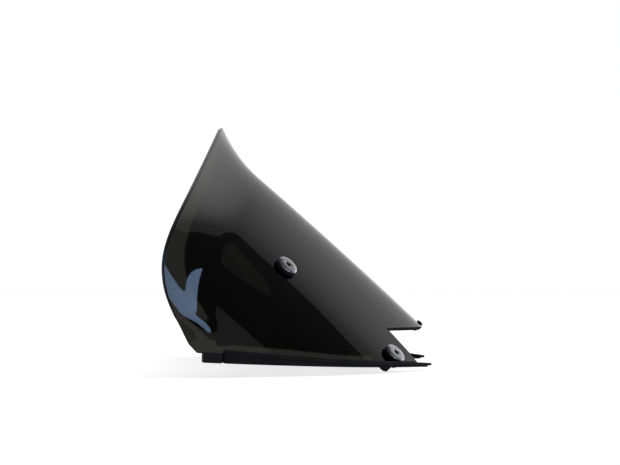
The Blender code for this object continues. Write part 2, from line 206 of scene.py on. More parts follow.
class WindshieldColours(bpy.types.PropertyGroup):
    """Colours of the screen's materials and of its stage."""

    smoke: FloatVectorProperty(
        name="Smoke tint",
        description="Light that one wall lets through",
        subtype="COLOR",
        default=(0.0150, 0.0150, 0.0125),
    )
    edge: FloatVectorProperty(
        name="Cut edge",
        description="Colour of the sheet's polished rim",
        subtype="COLOR",
        default=(0.0035, 0.0042, 0.0080),
    )
    rubber: FloatVectorProperty(
        name="Rubber",
        description="Colour of the seals and nuts",
        subtype="COLOR",
        default=(0.0090, 0.0090, 0.0105),
    )
    nylon: FloatVectorProperty(
        name="Nylon",
        description="Colour of the cup washers",
        subtype="COLOR",
        default=(0.0080, 0.0080, 0.0150),
    )
    steel: FloatVectorProperty(
        name="Bright steel",
        description="Colour of the screws",
        subtype="COLOR",
        default=(0.74, 0.74, 0.78),
    )
    # Painted shade for the inside of a screw's key recess, partly standing for its thin plating.
    painted_recess_shade: FloatVectorProperty(
        name="Recess",
        description="Colour inside a screw's key recess",
        subtype="COLOR",
        default=(0.05, 0.05, 0.06),
    )
    brass: FloatVectorProperty(
        name="Brass",
        description="Colour of the thread inserts",
        subtype="COLOR",
        default=(0.62, 0.44, 0.16),
    )
    sky: FloatVectorProperty(
        name="Window",
        description="Light of the window card",
        subtype="COLOR",
        default=(0.42, 0.62, 1.0),
    )


def sizes():
    """The scene's sizes."""
    return bpy.context.scene.windshield_sizes


def colours():
    """The scene's colours."""
    return bpy.context.scene.windshield_colours


# ---------------------------------------------------------------- the sheet's shape


def crest_axes():
    """Unit vectors down the crest, across, and square to both, and the crest's starting point."""
    slope = sizes().crest_slope
    down = np.array([math.cos(slope), 0.0, -math.sin(slope)])
    rise = np.array([math.sin(slope), 0.0, math.cos(slope)])
    low, high = (np.array(corner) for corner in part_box("screen"))
    middle = (low + high) / 2 * np.array([1.0, 0.0, 1.0])
    return down, np.array([0.0, 1.0, 0.0]), rise, middle + CREST_FROM_MIDDLE


def section_drop(y):
    """Fall of the section at half-width y: a hyperbola for the prow plus a high power for the sides."""
    prow = PROW_SLOPE * (np.sqrt(y * y + PROW_RADIUS**2) - PROW_RADIUS)
    return prow + SIDE_DROP * (y / SIDE_REACH) ** SIDE_POWER


SECTION_Y = np.linspace(0.0, 0.25, 5001)
SECTION_STEPS = np.hypot(np.diff(SECTION_Y), np.diff(section_drop(SECTION_Y)))
SECTION_ARC = np.concatenate([[0.0], np.cumsum(SECTION_STEPS)])


def arc_at(y):
    """The arc from the crest to half-width y, with the sign of y."""
    return float(np.sign(y) * np.interp(abs(y), SECTION_Y, SECTION_ARC))


def section(arc):
    """Half-width, drop and outward normal (across, rise) at each arc, signed like the arc."""
    side = np.sign(arc)
    y = np.interp(np.abs(arc), SECTION_ARC, SECTION_Y)
    step = 1e-6
    slope = (section_drop(y + step) - section_drop(y)) / step
    length = np.hypot(1.0, slope)
    return side * y, section_drop(y), side * slope / length, 1.0 / length


def bow(run):
    """Crown of the crest: a parabola with its top at BOW_RUN."""
    return -((run - BOW_RUN) ** 2) / (2.0 * BOW_RADIUS)


def share_of_width(arc):
    """The arc over the whole arc of one side, at most 1."""
    return np.minimum(np.abs(arc) / arc_at(sizes().half_width), 1.0)


def free_edge(arc):
    """Run of the free edge: a softened straight trim plus two powers of the share of the width."""
    share = share_of_width(arc)
    trim = np.sqrt(share**2 + TIP_SOFTNESS**2) - TIP_SOFTNESS
    hip = HIP_RUN * share**HIP_POWER
    return TIP_RUN + TRIM_RUN * trim + hip + SHOULDER_RUN * share**SHOULDER_POWER


def run_on_plane(arc, height, slope, depth=0.0):
    """Run at which a layer of the unflared sheet meets the plane z = height + slope * x."""
    down, _, up, start = crest_axes()
    _, drop, _, n_rise = section(np.asarray(arc, float))
    run = np.zeros_like(drop)
    for _ in range(4):
        rise = bow(run) - drop - depth * n_rise
        above = start[2] + rise * up[2] - height - slope * (start[0] + rise * up[0])
        run = above / (slope * down[0] - down[2])
    return run


def foot_run(arc):
    """Run at which the sheet's inner face meets the foot's plane."""
    return run_on_plane(arc, *FOOT_PLANE, sizes().sheet)


def slot_top_run(arc):
    """Run of the slot's top edge, on an almost level line."""
    y, _, _, _ = section(arc)
    return run_on_plane(arc, SLOT_TOP_Z + SLOT_TOP_RISE * np.abs(y) / sizes().slot_half_width, 0.0)


def flare(arc, run):
    """Outward lift: a parabola of the distance from the free edge, held down near the foot."""
    share = share_of_width(arc)
    shoulder = SHOULDER_RUN * SHOULDER_POWER * share ** (SHOULDER_POWER - 1)
    hip = HIP_RUN * HIP_POWER * share ** (HIP_POWER - 1)
    steepness = (TRIM_RUN + hip + shoulder) / arc_at(sizes().half_width)
    distance = (run - free_edge(arc)) / np.hypot(1.0, steepness)
    lift = (sizes().flare_lift + FLARE_HIP * share**2) * (1.0 - FLARE_FADE * share**FLARE_FADE_POWER)
    hold = np.clip((foot_run(arc) - run) / BASE_HOLD, 0.0, 1.0)
    fade = np.clip(1.0 - distance / sizes().flare_reach, 0.0, 1.0) ** 2
    return lift * hold**2 * (3.0 - 2.0 * hold) * fade


def sheet_point(arc, run):
    """Outer face: start + run * down + the section's place, moved along its normal by the flare."""
    down, across, up, start = crest_axes()
    y, drop, n_across, n_rise = section(np.asarray(arc, float))
    lift = flare(arc, run)
    side = np.multiply.outer(y + lift * n_across, across)
    rise = np.multiply.outer(lift * n_rise - drop + bow(run), up)
    return start + np.multiply.outer(run, down) + side + rise


def edged(count, border):
    """Even steps from 0 to 1, with one narrow step of border at each end."""
    return np.concatenate([[0.0], np.linspace(border, 1.0 - border, count - 1), [1.0]])


def sheet_grid():
    """The outer face as two-parameter grids: one across the whole width, and one down each lobe."""
    size = sizes()
    full, slot = arc_at(size.half_width), arc_at(size.slot_half_width)
    border = RIM_BORDER
    side_count = int(size.columns * (full - slot) / (2 * full))
    side = slot + (full - slot) * edged(side_count, border / (full - slot))
    middle = slot * (2.0 * edged(size.columns - 2 * side_count, border / (2 * slot)) - 1.0)
    columns = np.concatenate([-side[::-1], middle[1:-1], side])
    beyond = np.clip((np.abs(columns) - slot) / (full - slot), 0.0, 1.0)
    foot, top = foot_run(columns), free_edge(columns)
    level = foot - LOWER_SHARE * (foot - top)
    level_at_slot = foot_run(slot) - LOWER_SHARE * (foot_run(slot) - free_edge(slot))
    split = level + (slot_top_run(np.array(slot)) - level_at_slot) * (1.0 - beyond) ** 2
    low = np.where(np.abs(columns) <= slot + 1e-9, slot_top_run(columns), split)
    rows = edged(size.rows, ROW_BORDER)
    runs = top + np.multiply.outer(rows, low - top)
    arcs = np.broadcast_to(columns, runs.shape)
    corner = np.arange(runs.size).reshape(runs.shape)
    points, grids = [sheet_point(arcs, runs).reshape(-1, 3)], [corner]
    down = edged(int(size.rows * LOBE_ROWS), LOBE_BORDER)[1:]
    for chosen in (columns <= -slot + 1e-9, columns >= slot - 1e-9):
        shift = np.multiply.outer(down, SLOT_FLARE_ARC * (1.0 - beyond[chosen]) ** 3)
        lobe_arcs = columns[chosen] + np.sign(columns[chosen]) * shift
        lobe_runs = low[chosen] + down[:, None] * (foot_run(lobe_arcs) - low[chosen])
        start = sum(len(block) for block in points)
        lobe = start + np.arange(lobe_runs.size).reshape(lobe_runs.shape)
        grids.append(np.vstack([corner[-1][chosen], lobe]))
        points.append(sheet_point(lobe_arcs, lobe_runs).reshape(-1, 3))
    faces = [
        np.stack([grid[:-1, :-1], grid[1:, :-1], grid[1:, 1:], grid[:-1, 1:]], axis=-1).reshape(-1, 4)
        for grid in grids
    ]
    return np.concatenate(points), np.concatenate(faces)


# ---------------------------------------------------------------- mesh helpers


def mesh_from(name, points, faces, smooth_angle=40.0):
    """A smooth-shaded mesh whose edges stay sharp above smooth_angle degrees."""
    mesh = bpy.data.meshes.new(name)
    mesh.from_pydata(np.asarray(points).tolist(), [], [list(face) for face in faces])
    mesh.update()
    mesh.shade_smooth()
    mesh.set_sharp_from_angle(angle=math.radians(smooth_angle))
    return mesh


def add_piece(name, mesh, materials, nodes):
    """Links a finished mesh as a piece that rides on the one body and stands for CAD nodes."""
    for material in materials:
        mesh.materials.append(material)
    piece = bpy.data.objects.new(name, mesh)
    bpy.context.scene.collection.objects.link(piece)
    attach(piece, "root")
    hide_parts(*nodes)
    return piece


def finished(piece, smooth_angle=40.0):
    """Puts the result of a piece's modifiers into its mesh."""
    graph = bpy.context.evaluated_depsgraph_get()
    result = bpy.data.meshes.new_from_object(piece.evaluated_get(graph))
    piece.modifiers.clear()
    piece.data = result
    result.shade_smooth()
    result.set_sharp_from_angle(angle=math.radians(smooth_angle))


def outward_faces(faces):
    """The same faces seen from the other side, for a profile that runs from the top down."""
    return [face[::-1] for face in faces]


def closed_strip(rings):
    """Faces that join rings of equal length into a tube, with a flat face at each end."""
    count, sides = rings
    corner = np.arange(count * sides).reshape(count, sides)
    after = np.roll(corner, -1, axis=1)
    quads = np.stack([corner[:-1], after[:-1], after[1:], corner[1:]], axis=-1).reshape(-1, 4)
    return [*quads.tolist(), corner[0][::-1].tolist(), corner[-1].tolist()]


def rounded(corners, radius, steps):
    """Outlines with each corner turned into a parabolic arc between two points radius away from it."""
    before = np.roll(corners, 1, axis=-2) - corners
    after = np.roll(corners, -1, axis=-2) - corners
    reach_in = np.linalg.norm(before, axis=-1, keepdims=True)
    reach_out = np.linalg.norm(after, axis=-1, keepdims=True)
    enter = corners + before / reach_in * np.minimum(radius, 0.45 * reach_in)
    leave = corners + after / reach_out * np.minimum(radius, 0.45 * reach_out)
    t = np.linspace(0.0, 1.0, steps)[:, None]
    arc = (1 - t) ** 2 * enter[..., None, :] + 2 * t * (1 - t) * corners[..., None, :]
    arc = arc + t**2 * leave[..., None, :]
    return arc.reshape(*corners.shape[:-2], -1, corners.shape[-1])


# ---------------------------------------------------------------- fasteners

BORE_RADIUS = 0.0035
SHOULDER_RADIUS = 0.0044
SHOULDER_DEPTH = 0.0036
WASHER_BORE_RADIUS = 0.0048
NUT_RADIUS = 0.0063
NUT_FLANGE_RADIUS = 0.0095
NUT_FLANGE = 0.0018
NUT_DEPTH = 0.0165
INSERT_RADIUS = 0.0043
INSERT_LENGTH = 0.0076


def fastener_frame(place):
    """Foot, down-crest, side and outward axes of a fastener, from its washer's box and its mount.

    The washer is the same both ways up, so the middle of its box is on the screw's axis.
    """
    out = -np.array(MOUNTS[f"{place}_seat"]["axis"])
    low, high = (np.array(corner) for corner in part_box(f"rubber_washer_{place}"))
    foot = (low + high) / 2 - out * (GAP + sizes().rubber_thickness / 2)
    down = crest_axes()[0]
    down = down - out * (down @ out)
    down /= np.linalg.norm(down)
    return foot, down, np.cross(out, down), out


def bumper_frame():
    """The bumper stands square to the crest, and its head is the top of its box."""
    down, across, up, start = crest_axes()
    low, high = (np.array(corner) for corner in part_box("tab_bumper"))
    run = ((low + high) / 2 - start) @ down
    foot = start + run * down + bow(run) * up
    return foot, down, np.cross(up, down), up


def turned(profile, place_frame, flats=0.0, flat_rings=()):
    """A profile of (radius, height) turned round an axis; the rings in flat_rings are hexagons.

    A hexagon's radius at an angle is half its flats over the cosine of the angle from the
    middle of the nearest flat. A radius of 0 at either end closes the piece.
    """
    foot, down, side, out = place_frame
    steps = sizes().turns
    angle = np.arange(steps) * math.tau / steps
    radius, height = np.array(profile).T
    radii = np.broadcast_to(radius[:, None], (len(profile), steps)).copy()
    flat_angle = np.mod(angle, math.tau / 6) - math.tau / 12
    radii[list(flat_rings)] = radius[list(flat_rings), None] * (flats / 2) / np.cos(flat_angle)
    across = np.cos(angle)[:, None] * down + np.sin(angle)[:, None] * side
    points = foot + radii[..., None] * across + height[:, None, None] * out
    solid = radius[0] < 1e-9 and radius[-1] < 1e-9
    corner = np.arange(radii.size).reshape(radii.shape)
    if solid:
        corner[0], corner[-1] = corner[0, 0], corner[-1, 0]
    else:
        corner = np.vstack([corner, corner[:1]])
    after = np.roll(corner, -1, axis=1)
    quads = np.stack([corner[:-1], after[:-1], after[1:], corner[1:]], axis=-1).reshape(-1, 4)
    used, flat_index = np.unique(quads, return_inverse=True)
    quads = flat_index.reshape(-1, 4)
    faces = [list(dict.fromkeys(face)) for face in quads.tolist()]
    return points.reshape(-1, 3)[used], faces


def profile_of(corners, radius, steps=4):
    """Profile with its corners rounded; the two points on the axis of a solid piece stay."""
    corners = np.array(corners, float)
    soft = rounded(corners, radius, steps)
    if corners[0, 0] == 0.0:
        soft = np.concatenate([corners[:1], soft[steps:-steps], corners[-1:]])
    return soft


def head_base():
    """Height of a head's underside: both washers and the gaps round them."""
    return 3 * GAP + sizes().rubber_thickness + sizes().cup_thickness


# ---------------------------------------------------------------- seals


def plan_line(x_start, x_end, count, side):
    """The line where the unflared sheet would meet the seat, with its outward plan direction and lean."""
    down, across, up, start = crest_axes()
    arcs = np.linspace(arc_at(0.02), arc_at(0.235), 2000)
    y, drop, n_across, n_rise = section(arcs)
    run = run_on_plane(arcs, *SEAT_PLANE)
    points = start + np.multiply.outer(run, down) + np.multiply.outer(y, across)
    points = points + np.multiply.outer(bow(run) - drop, up)
    lean = n_rise * up[2] / np.hypot(n_across, n_rise * up[0])
    order = np.argsort(points[:, 0])
    wanted = np.linspace(x_start, x_end, count)
    line = np.stack([np.interp(wanted, points[order, 0], points[order, i]) for i in range(3)], axis=1)
    lean = np.interp(wanted, points[order, 0], lean[order])
    tangent = np.gradient(line, axis=0)
    outward = np.stack([-tangent[:, 1], tangent[:, 0]], axis=1)
    outward *= np.where(outward[:, 1:] < 0.0, -1.0, 1.0)
    outward /= np.linalg.norm(outward, axis=1)[:, None]
    return line * [1.0, side, 1.0], outward * [1.0, side], lean


def swept_seal(line, outward, outlines, side):
    """Outlines of (offset, height) carried along a line in plan, drawn in to a soft nose at both ends."""
    ends = np.ones(len(line))
    ends[:2] = SEAL_NOSE
    ends[-2:] = SEAL_NOSE[::-1]
    middle = outlines.mean(axis=1, keepdims=True)
    outlines = middle + (outlines - middle) * ends[:, None, None]
    plan = line[:, None, :2] + outward[:, None, :] * outlines[..., :1]
    points = np.concatenate([plan, outlines[..., 1:]], axis=-1)
    faces = closed_strip(outlines.shape[:2])
    if side < 0:
        faces = outward_faces(faces)
    return points.reshape(-1, 3), faces


def plane_z(plane, x):
    """Height of a base plane at x: its height at 0 plus its slope times x."""
    return plane[0] + plane[1] * x


STRIP_X = (-0.0720, 0.1220)
STRIP_ENDS = (0.0024, 0.0045, 0.0026)
STRIP_POINT = 0.016
STRIP_SLIM_X = 0.0755
STRIP_OFFSETS = (0.0021, 0.0070)
GASKET_FRONT_X = 0.1200
SEAL_GAP = 0.00003
SEAL_NOSE = (0.62, 0.93)
STRIP_ROUND = 0.0009
SEAL_ROUND = 0.0005
GASKET_OUTER = 0.0059
SHELF_DEPTH = 0.0060
FOOT_INWARD = -0.0088
WALL_CLEAR = 0.0005
BLOCK_X = (-0.0900, -0.0727)
BLOCK_OUTER = 0.0062
BLOCK_LIP_RISE = 0.0016
BLOCK_BAND = 0.0032
BLOCK_STEP = 0.0012


def strip_height(x):
    """Height of the trim strip: pointed at the rear, full along the side, slimmer at the front."""
    rear, full, front = STRIP_ENDS
    swell = np.interp(x, [STRIP_X[0], STRIP_X[0] + STRIP_POINT], [rear, full])
    return np.interp(x, [STRIP_SLIM_X, STRIP_X[1]], [1.0, front / full]) * swell


def corner_table(*columns):
    """Outlines from columns of (offset, height), each a number or one value for each station."""
    return np.stack([np.stack(np.broadcast_arrays(*column), axis=-1) for column in columns], axis=1)


def trim_outlines(line):
    """Trim strip: a rounded bar whose top follows the strip's plane."""
    x = line[:, 0]
    top = plane_z(STRIP_PLANE, x)
    low = top - strip_height(x)
    inner, outer = STRIP_OFFSETS
    inner, outer = np.full_like(x, inner), np.full_like(x, outer)
    table = corner_table((inner, low), (outer, low), (outer, top), (inner, top))
    return rounded(table, STRIP_ROUND, 5)


def shelf_height(line, outward):
    """Height of the sheet's foot, whose lowest corner stands FOOT_INWARD of the line."""
    return plane_z(FOOT_PLANE, line[:, 0] + FOOT_INWARD * outward[:, 0]) - SEAL_GAP


def gasket_outlines(line, outward, lean):
    """Base gasket: a shelf under the sheet's foot and a dam outside it, up to the strip."""
    x = line[:, 0]
    top = plane_z(STRIP_PLANE, x) - strip_height(x) - SEAL_GAP
    low = plane_z(SEAT_PLANE, x)
    shelf = shelf_height(line, outward)
    wall = WALL_CLEAR - lean * (shelf - low)
    outer = np.full_like(x, GASKET_OUTER)
    table = corner_table(
        (wall - SHELF_DEPTH, low),
        (outer, low),
        (outer, top),
        (wall, top),
        (wall, shelf),
        (wall - SHELF_DEPTH, shelf),
    )
    return rounded(table, SEAL_ROUND, 4)


def block_outlines(line, outward, lean):
    """Rear block: a shelf, a lip outside it, and a step round its lower band."""
    x = line[:, 0]
    low = plane_z(SEAT_PLANE, x)
    shelf = shelf_height(line, outward)
    lip = shelf + BLOCK_LIP_RISE
    band = low + BLOCK_BAND
    wall = WALL_CLEAR - lean * (shelf - low)
    outer = np.full_like(x, BLOCK_OUTER)
    table = corner_table(
        (wall - SHELF_DEPTH, low),
        (outer - BLOCK_STEP, low),
        (outer - BLOCK_STEP, band),
        (outer, band + GAP),
        (outer, lip),
        (wall, lip),
        (wall, shelf),
        (wall - SHELF_DEPTH, shelf),
    )
    return rounded(table, SEAL_ROUND, 4)


# ---------------------------------------------------------------- materials

ACRYLIC_IOR = 1.49


def new_material(name, colour, roughness, metallic=0.0):
    """A material with its Principled shader, and one place for its Object coordinates."""
    made = bpy.data.materials.new(name)
    made.use_nodes = True
    nodes = made.node_tree.nodes
    shader = nodes["Principled BSDF"]
    shader.inputs["Base Color"].default_value = (*colour, 1.0)
    shader.inputs["Roughness"].default_value = roughness
    shader.inputs["Metallic"].default_value = metallic
    made.diffuse_color = (*colour, 1.0)
    place = nodes.new("ShaderNodeTexCoord")
    return made, shader, place.outputs["Object"]


def noise(material, place, scale, detail=3.0, stretch=None):
    """Noise over the object's own coordinates, which stretch multiplies first."""
    nodes, links = material.node_tree.nodes, material.node_tree.links
    if stretch is not None:
        mapping = nodes.new("ShaderNodeMapping")
        mapping.inputs["Scale"].default_value = stretch
        links.new(place, mapping.inputs["Vector"])
        place = mapping.outputs["Vector"]
    made = nodes.new("ShaderNodeTexNoise")
    made.inputs["Scale"].default_value = scale
    made.inputs["Detail"].default_value = detail
    links.new(place, made.inputs["Vector"])
    return made.outputs["Fac"]


def ranged(material, value, low, high, start=0.3, end=0.7):
    """A value from start to end carried over to low to high."""
    nodes, links = material.node_tree.nodes, material.node_tree.links
    made = nodes.new("ShaderNodeMapRange")
    made.inputs["From Min"].default_value = start
    made.inputs["From Max"].default_value = end
    made.inputs["To Min"].default_value = low
    made.inputs["To Max"].default_value = high
    links.new(value, made.inputs["Value"])
    return made.outputs["Result"]


def tinted(material, shader, value, colour, spread):
    """Base colour that wanders between colour * (1 - spread) and colour * (1 + spread)."""
    nodes, links = material.node_tree.nodes, material.node_tree.links
    ramp = nodes.new("ShaderNodeValToRGB")
    ramp.color_ramp.elements[0].position = 0.3
    ramp.color_ramp.elements[1].position = 0.7
    for element, factor in zip(ramp.color_ramp.elements, (1.0 - spread, 1.0 + spread)):
        element.color = (*[min(channel * factor, 1.0) for channel in colour], 1.0)
    links.new(value, ramp.inputs["Fac"])
    links.new(ramp.outputs["Color"], shader.inputs["Base Color"])


def bumped(material, shader, value, distance, strength):
    """Relief of the given height in metres."""
    nodes, links = material.node_tree.nodes, material.node_tree.links
    made = nodes.new("ShaderNodeBump")
    made.inputs["Distance"].default_value = distance
    made.inputs["Strength"].default_value = strength
    links.new(value, made.inputs["Height"])
    links.new(made.outputs["Normal"], shader.inputs["Normal"])


def roughened(material, shader, value, low, high):
    """Roughness that wanders from low to high."""
    material.node_tree.links.new(ranged(material, value, low, high), shader.inputs["Roughness"])


def smoke_acrylic():
    """Dark clear sheet: smooth, with the long soft waves that forming leaves and a trace of haze."""
    made, shader, place = new_material("clear_smoke_sheet", colours().smoke, 0.02)
    shader.inputs["Transmission Weight"].default_value = 1.0
    shader.inputs["IOR"].default_value = ACRYLIC_IOR
    roughened(made, shader, noise(made, place, 190.0, 6.0, (1.0, 1.0, 0.35)), 0.008, 0.045)
    tinted(made, shader, noise(made, place, 5.0, 2.0), colours().smoke, 0.12)
    bumped(made, shader, noise(made, place, 9.0, 1.0), 0.0006, 0.35)
    return made


def polished_edge():
    """Rim of the sheet: near black with a blue cast, with fine marks along it."""
    made, shader, place = new_material("sawn_rim", colours().edge, 0.25)
    tinted(made, shader, noise(made, place, 60.0), colours().edge, 0.35)
    roughened(made, shader, noise(made, place, 900.0), 0.16, 0.34)
    bumped(made, shader, noise(made, place, 2500.0, 2.0), 0.00004, 0.5)
    shader.inputs["Specular IOR Level"].default_value = 0.3
    return made


def black_rubber():
    """Moulded rubber: matt, with a fine grain and faint bloom."""
    made, shader, place = new_material("grained_rubber", colours().rubber, 0.55)
    tinted(made, shader, noise(made, place, 35.0, 4.0), colours().rubber, 0.30)
    roughened(made, shader, noise(made, place, 140.0), 0.48, 0.66)
    bumped(made, shader, noise(made, place, 3200.0, 3.0), 0.00005, 0.5)
    shader.inputs["Specular IOR Level"].default_value = 0.16
    return made


def black_nylon():
    """Moulded nylon: satin, with a slightly blue black."""
    made, shader, place = new_material("satin_nylon", colours().nylon, 0.34)
    tinted(made, shader, noise(made, place, 80.0, 3.0), colours().nylon, 0.25)
    roughened(made, shader, noise(made, place, 500.0), 0.26, 0.42)
    bumped(made, shader, noise(made, place, 2600.0, 2.0), 0.00003, 0.4)
    shader.inputs["Specular IOR Level"].default_value = 0.2
    return made


def bright_steel():
    """Plated steel: bright, with fine hairline wear."""
    made, shader, place = new_material("hairline_steel", colours().steel, 0.16, 1.0)
    tinted(made, shader, noise(made, place, 150.0, 4.0), colours().steel, 0.06)
    hairline = noise(made, place, 900.0, 5.0, (1.0, 1.0, 6.0))
    roughened(made, shader, hairline, 0.10, 0.26)
    bumped(made, shader, hairline, 0.00001, 0.3)
    return made


def shaded_recess():
    """Inside of the key recess: thinly plated, and darker still with painted shade."""
    made, shader, place = new_material("painted_shade_recess", colours().painted_recess_shade, 0.5, 0.6)
    tinted(made, shader, noise(made, place, 400.0), colours().painted_recess_shade, 0.4)
    return made


def turned_brass():
    """Turned brass, slightly dulled."""
    made, shader, place = new_material("turned_brass", colours().brass, 0.3, 1.0)
    tinted(made, shader, noise(made, place, 120.0, 4.0), colours().brass, 0.15)
    roughened(made, shader, noise(made, place, 700.0), 0.22, 0.42)
    return made


# The rings of a screw's profile that are hexagons: the key recess.
RECESS_RINGS = (1, 2, 3, 4)

MADE = {}


def finish(maker):
    """The material that a maker makes, made the first time it is asked for."""
    if maker not in MADE:
        MADE[maker] = maker()
    return MADE[maker]


# ---------------------------------------------------------------- operators


def drill(name, diameter, place_frame):
    """A short rod through the sheet, used once to cut a hole and then removed."""
    reach = 3 * sizes().sheet
    profile = [(0.0, reach), (diameter / 2, reach), (diameter / 2, -reach), (0.0, -reach)]
    points, faces = turned(profile, place_frame)
    rod = bpy.data.objects.new(name, mesh_from(name, points, outward_faces(faces)))
    bpy.context.scene.collection.objects.link(rod)
    return rod


class WINDSHIELD_OT_screen(bpy.types.Operator):
    """Builds the flared screen: its outer face, wall, rounded rim and holes"""

    bl_idname = "windshield.screen"
    bl_label = "Screen"

    def execute(self, context):
        points, faces = sheet_grid()
        mesh = mesh_from("screen_sheet", points, faces)
        materials = [finish(smoke_acrylic), finish(polished_edge)]
        piece = add_piece("screen_sheet", mesh, materials, ["screen"])
        wall = piece.modifiers.new("wall", "SOLIDIFY")
        wall.thickness = sizes().sheet
        wall.offset = -1.0
        wall.use_even_offset = True
        wall.material_offset_rim = 1
        rim = piece.modifiers.new("rim", "BEVEL")
        rim.width = sizes().edge_round
        rim.segments = 3
        rim.limit_method = "ANGLE"
        rim.angle_limit = math.radians(50.0)
        rim.material = 1
        rods = [drill(f"drill_{place}", sizes().screw_hole, fastener_frame(place)) for place in PLACES]
        rods.append(drill("drill_bumper", sizes().bumper_hole, bumper_frame()))
        for rod in rods:
            hole = piece.modifiers.new(rod.name, "BOOLEAN")
            hole.operation = "DIFFERENCE"
            hole.object = rod
        finished(piece)
        for rod in rods:
            bpy.data.objects.remove(rod, do_unlink=True)
        return {"FINISHED"}


class WINDSHIELD_OT_screws(bpy.types.Operator):
    """Builds the four screws: a profile of head and shank turned round the axis, round a hexagonal recess"""

    bl_idname = "windshield.screws"
    bl_label = "Screws"

    def execute(self, context):
        size = sizes()
        low = head_base()
        top, tip, rim = low + size.head_height, low - size.shank_length, size.head / 2
        shank = size.shank / 2
        floor = top - size.socket_depth
        recess = [(0.0, floor), (0.96, floor), (1.0, floor + 0.0002), (1.0, top - 0.0007)]
        mouth = [(1.08, top - 0.00035), (0.0034, top - 0.0003), (0.0044, top - 0.0003), (0.0048, top)]
        body = profile_of(
            [
                (0.0050, top),
                (rim - 0.0022, top - 0.0001),
                (rim - 0.0005, top - 0.0006),
                (rim, top - 0.0011),
                (rim, low),
                (shank, low),
                (shank, tip + 0.0007),
                (shank - 0.0007, tip),
                (0.0020, tip),
            ],
            0.00018,
        )[4:-4]
        profile = np.concatenate([recess, mouth, body, [(0.0, tip)]])
        for place in PLACES:
            points, faces = turned(profile, fastener_frame(place), size.socket_flats, RECESS_RINGS)
            mesh = mesh_from(f"screw_{place}_bright", points, outward_faces(faces), 32.0)
            finishes = [finish(bright_steel), finish(shaded_recess)]
            add_piece(mesh.name, mesh, finishes, [f"screw_{place}"])
            # The recess faces take the painted-shade material.
            recessed = np.arange(len(mesh.polygons)) < len(RECESS_RINGS) * size.turns
            mesh.polygons.foreach_set("material_index", recessed.astype(int))
        return {"FINISHED"}


class WINDSHIELD_OT_cup_washers(bpy.types.Operator):
    """Builds the four shouldered nylon washers under the screw heads"""

    bl_idname = "windshield.cup_washers"
    bl_label = "Cup washers"

    def execute(self, context):
        size = sizes()
        low = 2 * GAP + size.rubber_thickness
        high, outer = low + size.cup_thickness, size.cup_washer / 2
        corners = [
            (BORE_RADIUS, -SHOULDER_DEPTH),
            (SHOULDER_RADIUS, -SHOULDER_DEPTH),
            (SHOULDER_RADIUS, low),
            (outer, low),
            (outer, high - 0.0009),
            (outer - 0.0006, high),
            (BORE_RADIUS, high),
        ]
        profile = profile_of(corners, 0.0003)
        for place in PLACES:
            points, faces = turned(profile, fastener_frame(place))
            mesh = mesh_from(f"cup_washer_{place}_nylon", points, faces)
            add_piece(mesh.name, mesh, [finish(black_nylon)], [f"cup_washer_{place}"])
        return {"FINISHED"}


class WINDSHIELD_OT_rubber_washers(bpy.types.Operator):
    """Builds the four rubber washers that stand on the sheet"""

    bl_idname = "windshield.rubber_washers"
    bl_label = "Rubber washers"

    def execute(self, context):
        size = sizes()
        low, high, outer = GAP, GAP + size.rubber_thickness, size.rubber_washer / 2
        corners = [
            (WASHER_BORE_RADIUS, low),
            (outer, low),
            (outer, high),
            (WASHER_BORE_RADIUS, high),
        ]
        profile = profile_of(corners, 0.0009)
        for place in PLACES:
            points, faces = turned(profile, fastener_frame(place))
            mesh = mesh_from(f"rubber_washer_{place}_soft", points, faces)
            add_piece(mesh.name, mesh, [finish(black_rubber)], [f"rubber_washer_{place}"])
        return {"FINISHED"}


class WINDSHIELD_OT_well_nuts(bpy.types.Operator):
    """Builds the four rubber nuts behind the sheet, and the brass insert in each"""

    bl_idname = "windshield.well_nuts"
    bl_label = "Well nuts and inserts"

    def execute(self, context):
        face = -sizes().sheet - GAP
        seat = face - NUT_FLANGE
        end = -NUT_DEPTH
        insert_top = end + INSERT_LENGTH
        insert_low = end + 0.0002
        nut = profile_of(
            [
                (BORE_RADIUS, face),
                (NUT_FLANGE_RADIUS, face),
                (NUT_FLANGE_RADIUS, seat),
                (NUT_RADIUS, seat),
                (NUT_RADIUS - 0.0002, end + 0.0008),
                (NUT_RADIUS - 0.0008, end),
                (INSERT_RADIUS + GAP, end),
                (INSERT_RADIUS + GAP, insert_top + GAP),
                (BORE_RADIUS, insert_top + GAP),
            ],
            0.0003,
        )
        insert = profile_of(
            [
                (BORE_RADIUS, insert_top),
                (INSERT_RADIUS, insert_top),
                (INSERT_RADIUS, insert_low),
                (BORE_RADIUS, insert_low),
            ],
            0.0002,
        )
        for place in PLACES:
            spot = fastener_frame(place)
            points, faces = turned(nut, spot)
            mesh = mesh_from(f"well_nut_{place}_soft", points, outward_faces(faces))
            add_piece(mesh.name, mesh, [finish(black_rubber)], [f"well_nut_{place}"])
            points, faces = turned(insert, spot)
            mesh = mesh_from(f"thread_insert_{place}_brass", points, outward_faces(faces))
            add_piece(mesh.name, mesh, [finish(turned_brass)], [f"thread_insert_{place}"])
        return {"FINISHED"}


class WINDSHIELD_OT_seals(bpy.types.Operator):
    """Builds the trim strips, base gaskets and rear blocks along the base"""

    bl_idname = "windshield.seals"
    bl_label = "Base seals"

    def execute(self, context):
        for word, side in SIDES:
            line, outward, lean = plan_line(*STRIP_X, sizes().stations, side)
            self.add(f"trim_strip_{word}", line, outward, trim_outlines(line), side)
            line, outward, lean = plan_line(STRIP_X[0], GASKET_FRONT_X, sizes().stations, side)
            self.add(f"base_gasket_{word}", line, outward, gasket_outlines(line, outward, lean), side)
            line, outward, lean = plan_line(*BLOCK_X, 32, side)
            self.add(f"rear_block_{word}", line, outward, block_outlines(line, outward, lean), side)
        return {"FINISHED"}

    def add(self, node, line, outward, outlines, side):
        points, faces = swept_seal(line, outward, outlines, side)
        mesh = mesh_from(f"{node}_soft", points, faces)
        add_piece(mesh.name, mesh, [finish(black_rubber)], [node])


